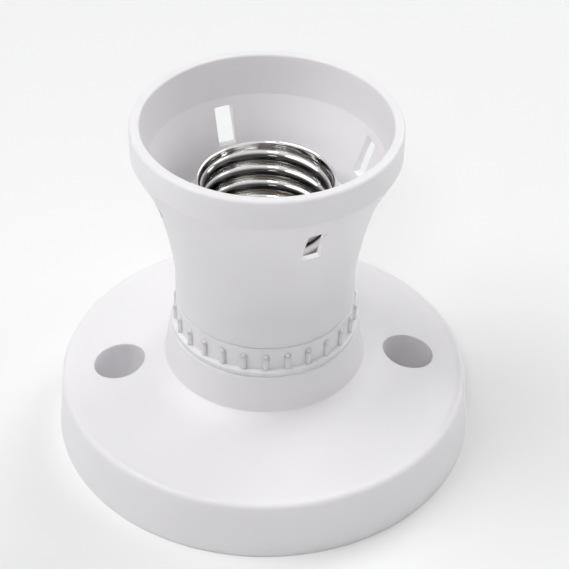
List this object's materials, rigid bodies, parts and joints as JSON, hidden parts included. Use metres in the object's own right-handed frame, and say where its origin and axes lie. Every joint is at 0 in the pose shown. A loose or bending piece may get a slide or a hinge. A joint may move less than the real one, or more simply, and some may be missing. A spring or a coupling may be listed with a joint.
{
  "type": "lamp holder",
  "caption": "Surface-mounted screw lamp holder: round base with two fixing wells, ribbed ring and a flared, windowed shroud around a metal screw shell.",
  "frame": {"origin": "middle of the base's underside, on the mounting surface", "axes": "+Z out of the mounting surface along the lamp's axis; +X through one of the two fixing wells"},
  "size_m": [0.087, 0.087, 0.0738],
  "materials": {
    "white_moulding": "moulded, half gloss",
    "insulator": "moulded, dull",
    "nickel_sheet": "bright nickel plate",
    "spring_bronze": "rolled strip",
    "brass": "stamped",
    "zinc_steel": "zinc plated"
  },
  "bodies": {
    "holder": {"base": "white_moulding", "holder_cap": "white_moulding", "cap_screws": "zinc_steel", "contact_carrier": "insulator", "screw_shell": "nickel_sheet", "contact_rivet": "brass", "shell_rivets": "brass", "line_terminal": "brass", "neutral_terminal": "brass", "terminal_washers": "zinc_steel", "terminal_screws": "zinc_steel"},
    "shroud": {"shroud": "white_moulding"},
    "contact": {"centre_contact": "spring_bronze"}
  },
  "joints": [
    {"name": "shroud_lift", "type": "slide", "parent": "holder", "child": "shroud", "axis": [0, 0, 1], "range_m": [0, 0.03]},
    {"name": "contact_press", "type": "hinge", "parent": "holder", "child": "contact", "pos_m": [-0.0052, 0, 0.0339], "axis": [0, 1, 0], "range_deg": [0, 8], "stiffness_Nm_per_rad": 0.2}
  ]
}
